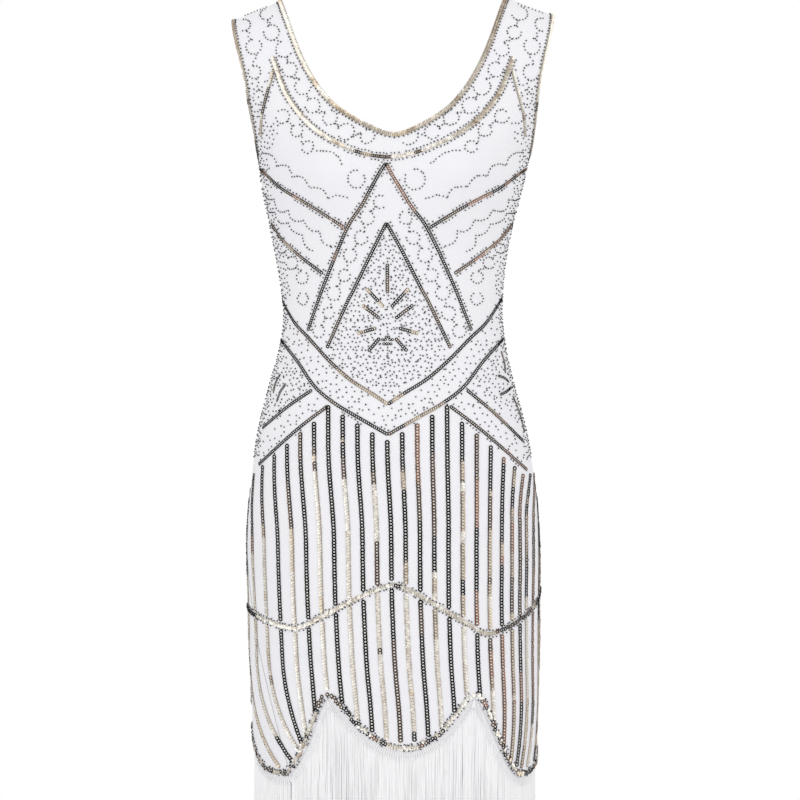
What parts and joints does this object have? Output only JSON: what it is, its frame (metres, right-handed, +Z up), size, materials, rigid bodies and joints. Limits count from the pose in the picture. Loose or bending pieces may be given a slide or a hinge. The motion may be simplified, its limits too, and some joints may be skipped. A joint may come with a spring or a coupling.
{
  "type": "flapper dress",
  "caption": "Sleeveless knee-length flapper dress, filled out as worn: V neck, fitted waist, scalloped hem with fringe, sequin bands round the edges and skirt.",
  "frame": {"origin": "midway between the two shoulder straps, at the height of the shoulder seams' neck ends, where the wearer's shoulders carry the dress", "axes": "+Z up towards the shoulders, the front of the dress faces -Y, the wearer's left is +X"},
  "size_m": [0.3727, 0.2253, 1.0283],
  "materials": {
    "cloth": "fine off-white mesh over an opaque lining, soft sheen",
    "sequin_band": "champagne sequins and seed beads sewn close together",
    "fringe": "off-white rayon chainette fringe, silky",
    "dark_sequins": "dark bronze cup sequins, glossy",
    "pale_sequins": "champagne cup sequins, glossy",
    "beads": "charcoal glass seed beads, glossy"
  },
  "bodies": {
    "root": {"front_panel": "cloth", "back_panel": "cloth", "neck_trim": "sequin_band", "armhole_trim_left": "sequin_band", "armhole_trim_right": "sequin_band", "wave_trim": "sequin_band", "hem_trim": "sequin_band", "fringe_front": "fringe", "fringe_back": "fringe"}
  },
  "joints": []
}
